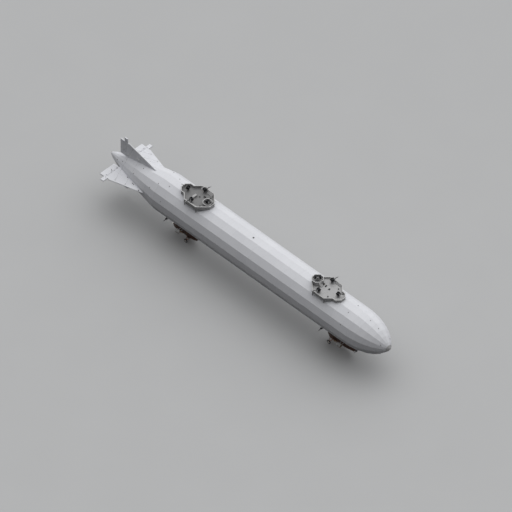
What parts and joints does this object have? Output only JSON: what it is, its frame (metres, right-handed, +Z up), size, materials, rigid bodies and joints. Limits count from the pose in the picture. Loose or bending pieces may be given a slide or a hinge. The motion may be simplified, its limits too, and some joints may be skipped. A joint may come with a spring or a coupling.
{
  "type": "rigid airship with gun decks, 1:10 scale model",
  "caption": "Long faceted rigid airship with cross tail fins, two armed octagonal top decks and two wheeled gondolas that carry engines and wooden propellers.",
  "frame": {"origin": "on the ground under the wheels, at the middle of the length", "axes": "+X towards the nose, +Y to port, +Z up"},
  "size_m": [9.85, 1.744, 1.9345],
  "materials": {
    "envelope_fabric": "doped, matt",
    "deck_grey": "matt",
    "gondola_brown": "satin",
    "gun_black": "satin",
    "grey_steel": "satin",
    "propeller_wood": "varnished",
    "tyre_rubber": "matt"
  },
  "bodies": {
    "airship": {"nose_cone": "envelope_fabric", "fore_hull_bay": "envelope_fabric", "middle_hull_bay": "envelope_fabric", "aft_hull_bay": "envelope_fabric", "tail_cone": "envelope_fabric", "upper_fin": "envelope_fabric", "port_fin": "envelope_fabric", "lower_fin": "envelope_fabric", "starboard_fin": "envelope_fabric", "fore_deck_floor": "deck_grey", "fore_deck_bulwark": "deck_grey", "aft_deck_floor": "deck_grey", "aft_deck_bulwark": "deck_grey", "aft_deck_gun_ring": "deck_grey", "fore_gondola_cabin": "gondola_brown", "fore_gondola_roof": "gondola_brown", "fore_undercarriage": "gondola_brown", "fore_port_engine": "grey_steel", "fore_starboard_engine": "grey_steel", "aft_gondola_cabin": "gondola_brown", "aft_gondola_roof": "gondola_brown", "aft_undercarriage": "gondola_brown", "aft_port_engine": "grey_steel", "aft_starboard_engine": "grey_steel"},
    "upper_rudder": {"upper_rudder": "envelope_fabric"},
    "lower_rudder": {"lower_rudder": "envelope_fabric"},
    "port_elevator": {"port_elevator": "envelope_fabric"},
    "starboard_elevator": {"starboard_elevator": "envelope_fabric"},
    "fore_deck_bow_gun_mount": {"fore_deck_bow_gun_mount": "grey_steel"},
    "fore_deck_bow_gun": {"fore_deck_bow_gun": "gun_black"},
    "fore_deck_port_gun_mount": {"fore_deck_port_gun_mount": "grey_steel"},
    "fore_deck_port_gun": {"fore_deck_port_gun": "gun_black"},
    "fore_deck_starboard_gun_mount": {"fore_deck_starboard_gun_mount": "grey_steel"},
    "fore_deck_starboard_gun": {"fore_deck_starboard_gun": "gun_black"},
    "fore_deck_stern_gun_mount": {"fore_deck_stern_gun_mount": "grey_steel"},
    "fore_deck_stern_gun": {"fore_deck_stern_gun": "gun_black"},
    "aft_deck_bow_gun_mount": {"aft_deck_bow_gun_mount": "grey_steel"},
    "aft_deck_bow_gun": {"aft_deck_bow_gun": "gun_black"},
    "aft_deck_port_gun_mount": {"aft_deck_port_gun_mount": "grey_steel"},
    "aft_deck_port_gun": {"aft_deck_port_gun": "gun_black"},
    "aft_deck_starboard_gun_mount": {"aft_deck_starboard_gun_mount": "grey_steel"},
    "aft_deck_starboard_gun": {"aft_deck_starboard_gun": "gun_black"},
    "aft_deck_stern_gun_mount": {"aft_deck_stern_gun_mount": "grey_steel"},
    "aft_deck_stern_gun": {"aft_deck_stern_gun": "gun_black"},
    "fore_port_waist_gun": {"fore_port_waist_gun": "gun_black"},
    "fore_starboard_waist_gun": {"fore_starboard_waist_gun": "gun_black"},
    "aft_port_waist_gun": {"aft_port_waist_gun": "gun_black"},
    "aft_starboard_waist_gun": {"aft_starboard_waist_gun": "gun_black"},
    "fore_gondola_bow_gun": {"fore_gondola_bow_gun": "gun_black"},
    "fore_gondola_door": {"fore_gondola_door": "gondola_brown"},
    "fore_port_propeller": {"fore_port_propeller": "propeller_wood"},
    "fore_port_wheel": {"fore_port_wheel": "tyre_rubber"},
    "fore_starboard_propeller": {"fore_starboard_propeller": "propeller_wood"},
    "fore_starboard_wheel": {"fore_starboard_wheel": "tyre_rubber"},
    "aft_gondola_door": {"aft_gondola_door": "gondola_brown"},
    "aft_port_propeller": {"aft_port_propeller": "propeller_wood"},
    "aft_port_wheel": {"aft_port_wheel": "tyre_rubber"},
    "aft_starboard_propeller": {"aft_starboard_propeller": "propeller_wood"},
    "aft_starboard_wheel": {"aft_starboard_wheel": "tyre_rubber"}
  },
  "joints": [
    {"name": "upper_rudder_hinge", "type": "hinge", "parent": "airship", "child": "upper_rudder", "pos_m": [-4.426, 0, 1.06], "axis": [0, 0, 1], "range_deg": [-25, 25]},
    {"name": "lower_rudder_hinge", "type": "hinge", "parent": "airship", "child": "lower_rudder", "pos_m": [-4.426, 0, 1.06], "axis": [0, 0, 1], "range_deg": [-25, 25]},
    {"name": "port_elevator_hinge", "type": "hinge", "parent": "airship", "child": "port_elevator", "pos_m": [-4.426, 0, 1.06], "axis": [0, 1, 0], "range_deg": [-25, 25]},
    {"name": "starboard_elevator_hinge", "type": "hinge", "parent": "airship", "child": "starboard_elevator", "pos_m": [-4.426, 0, 1.06], "axis": [0, 1, 0], "range_deg": [-25, 25]},
    {"name": "fore_deck_bow_gun_traverse", "type": "hinge", "parent": "airship", "child": "fore_deck_bow_gun_mount", "pos_m": [3.095, 0, 1.6223], "axis": [0, 0, 1], "continuous": true},
    {"name": "fore_deck_bow_gun_elevation", "type": "hinge", "parent": "fore_deck_bow_gun_mount", "child": "fore_deck_bow_gun", "pos_m": [3.095, 0, 1.7273], "axis": [0.342, -0.9397, 0], "range_deg": [-15, 40]},
    {"name": "fore_deck_port_gun_traverse", "type": "hinge", "parent": "airship", "child": "fore_deck_port_gun_mount", "pos_m": [2.647, 0.24, 1.6223], "axis": [0, 0, 1], "continuous": true},
    {"name": "fore_deck_port_gun_elevation", "type": "hinge", "parent": "fore_deck_port_gun_mount", "child": "fore_deck_port_gun", "pos_m": [2.647, 0.24, 1.7273], "axis": [0.9659, -0.2588, 0], "range_deg": [-10, 45]},
    {"name": "fore_deck_starboard_gun_traverse", "type": "hinge", "parent": "airship", "child": "fore_deck_starboard_gun_mount", "pos_m": [2.647, -0.24, 1.6223], "axis": [0, 0, 1], "continuous": true},
    {"name": "fore_deck_starboard_gun_elevation", "type": "hinge", "parent": "fore_deck_starboard_gun_mount", "child": "fore_deck_starboard_gun", "pos_m": [2.647, -0.24, 1.7273], "axis": [-0.9397, 0.342, 0], "range_deg": [-10, 45]},
    {"name": "fore_deck_stern_gun_traverse", "type": "hinge", "parent": "airship", "child": "fore_deck_stern_gun_mount", "pos_m": [2.373, 0, 1.6973], "axis": [0, 0, 1], "continuous": true},
    {"name": "fore_deck_stern_gun_elevation", "type": "hinge", "parent": "fore_deck_stern_gun_mount", "child": "fore_deck_stern_gun", "pos_m": [2.373, 0, 1.8023], "axis": [-0.7071, -0.7071, 0], "range_deg": [-45, 10]},
    {"name": "aft_deck_bow_gun_traverse", "type": "hinge", "parent": "airship", "child": "aft_deck_bow_gun_mount", "pos_m": [-1.523, 0, 1.6223], "axis": [0, 0, 1], "continuous": true},
    {"name": "aft_deck_bow_gun_elevation", "type": "hinge", "parent": "aft_deck_bow_gun_mount", "child": "aft_deck_bow_gun", "pos_m": [-1.523, 0, 1.7273], "axis": [0.1736, -0.9848, 0], "range_deg": [-10, 45]},
    {"name": "aft_deck_port_gun_traverse", "type": "hinge", "parent": "airship", "child": "aft_deck_port_gun_mount", "pos_m": [-1.863, 0.24, 1.6223], "axis": [0, 0, 1], "continuous": true},
    {"name": "aft_deck_port_gun_elevation", "type": "hinge", "parent": "aft_deck_port_gun_mount", "child": "aft_deck_port_gun", "pos_m": [-1.863, 0.24, 1.7273], "axis": [0.9659, -0.2588, 0], "range_deg": [-10, 45]},
    {"name": "aft_deck_starboard_gun_traverse", "type": "hinge", "parent": "airship", "child": "aft_deck_starboard_gun_mount", "pos_m": [-1.863, -0.225, 1.6223], "axis": [0, 0, 1], "continuous": true},
    {"name": "aft_deck_starboard_gun_elevation", "type": "hinge", "parent": "aft_deck_starboard_gun_mount", "child": "aft_deck_starboard_gun", "pos_m": [-1.863, -0.225, 1.7273], "axis": [-0.9848, 0.1736, 0], "range_deg": [-10, 45]},
    {"name": "aft_deck_stern_gun_traverse", "type": "hinge", "parent": "airship", "child": "aft_deck_stern_gun_mount", "pos_m": [-2.206, 0, 1.6223], "axis": [0, 0, 1], "continuous": true},
    {"name": "aft_deck_stern_gun_elevation", "type": "hinge", "parent": "aft_deck_stern_gun_mount", "child": "aft_deck_stern_gun", "pos_m": [-2.206, 0, 1.7273], "axis": [-0.342, 0.9397, 0], "range_deg": [-20, 35]},
    {"name": "fore_port_waist_gun_traverse", "type": "hinge", "parent": "airship", "child": "fore_port_waist_gun", "pos_m": [2.95, 0.462, 0.7], "axis": [0, 0, 1], "range_deg": [-45, 45]},
    {"name": "fore_starboard_waist_gun_traverse", "type": "hinge", "parent": "airship", "child": "fore_starboard_waist_gun", "pos_m": [2.95, -0.462, 0.7], "axis": [0, 0, 1], "range_deg": [-45, 45]},
    {"name": "aft_port_waist_gun_traverse", "type": "hinge", "parent": "airship", "child": "aft_port_waist_gun", "pos_m": [-2.53, 0.462, 0.7], "axis": [0, 0, 1], "range_deg": [-45, 45]},
    {"name": "aft_starboard_waist_gun_traverse", "type": "hinge", "parent": "airship", "child": "aft_starboard_waist_gun", "pos_m": [-2.53, -0.462, 0.7], "axis": [0, 0, 1], "range_deg": [-45, 45]},
    {"name": "fore_gondola_bow_gun_traverse", "type": "hinge", "parent": "airship", "child": "fore_gondola_bow_gun", "pos_m": [3.758, 0, 0.152], "axis": [0, 0, 1], "range_deg": [-20, 200]},
    {"name": "fore_door_hinge", "type": "hinge", "parent": "airship", "child": "fore_gondola_door", "pos_m": [3.12, -0.1066, 0.2425], "axis": [0, 0, 1], "range_deg": [0, 90]},
    {"name": "fore_port_propeller_spin", "type": "hinge", "parent": "airship", "child": "fore_port_propeller", "pos_m": [3.239, 0.212, 0.278], "axis": [1, 0, 0], "continuous": true},
    {"name": "fore_port_wheel_spin", "type": "hinge", "parent": "airship", "child": "fore_port_wheel", "pos_m": [2.952, 0.188, 0.055], "axis": [0, 1, 0], "continuous": true},
    {"name": "fore_starboard_propeller_spin", "type": "hinge", "parent": "airship", "child": "fore_starboard_propeller", "pos_m": [3.239, -0.212, 0.278], "axis": [1, 0, 0], "continuous": true},
    {"name": "fore_starboard_wheel_spin", "type": "hinge", "parent": "airship", "child": "fore_starboard_wheel", "pos_m": [2.952, -0.188, 0.055], "axis": [0, 1, 0], "continuous": true},
    {"name": "aft_door_hinge", "type": "hinge", "parent": "airship", "child": "aft_gondola_door", "pos_m": [-2.06, -0.1066, 0.2425], "axis": [0, 0, 1], "range_deg": [0, 90]},
    {"name": "aft_port_propeller_spin", "type": "hinge", "parent": "airship", "child": "aft_port_propeller", "pos_m": [-2.243, 0.212, 0.278], "axis": [1, 0, 0], "continuous": true},
    {"name": "aft_port_wheel_spin", "type": "hinge", "parent": "airship", "child": "aft_port_wheel", "pos_m": [-2.108, 0.188, 0.055], "axis": [0, 1, 0], "continuous": true},
    {"name": "aft_starboard_propeller_spin", "type": "hinge", "parent": "airship", "child": "aft_starboard_propeller", "pos_m": [-2.243, -0.212, 0.278], "axis": [1, 0, 0], "continuous": true},
    {"name": "aft_starboard_wheel_spin", "type": "hinge", "parent": "airship", "child": "aft_starboard_wheel", "pos_m": [-2.108, -0.188, 0.055], "axis": [0, 1, 0], "continuous": true}
  ],
  "couplings": [
    {"joint": "lower_rudder_hinge", "follows": "upper_rudder_hinge", "ratio": 1},
    {"joint": "starboard_elevator_hinge", "follows": "port_elevator_hinge", "ratio": 1}
  ]
}
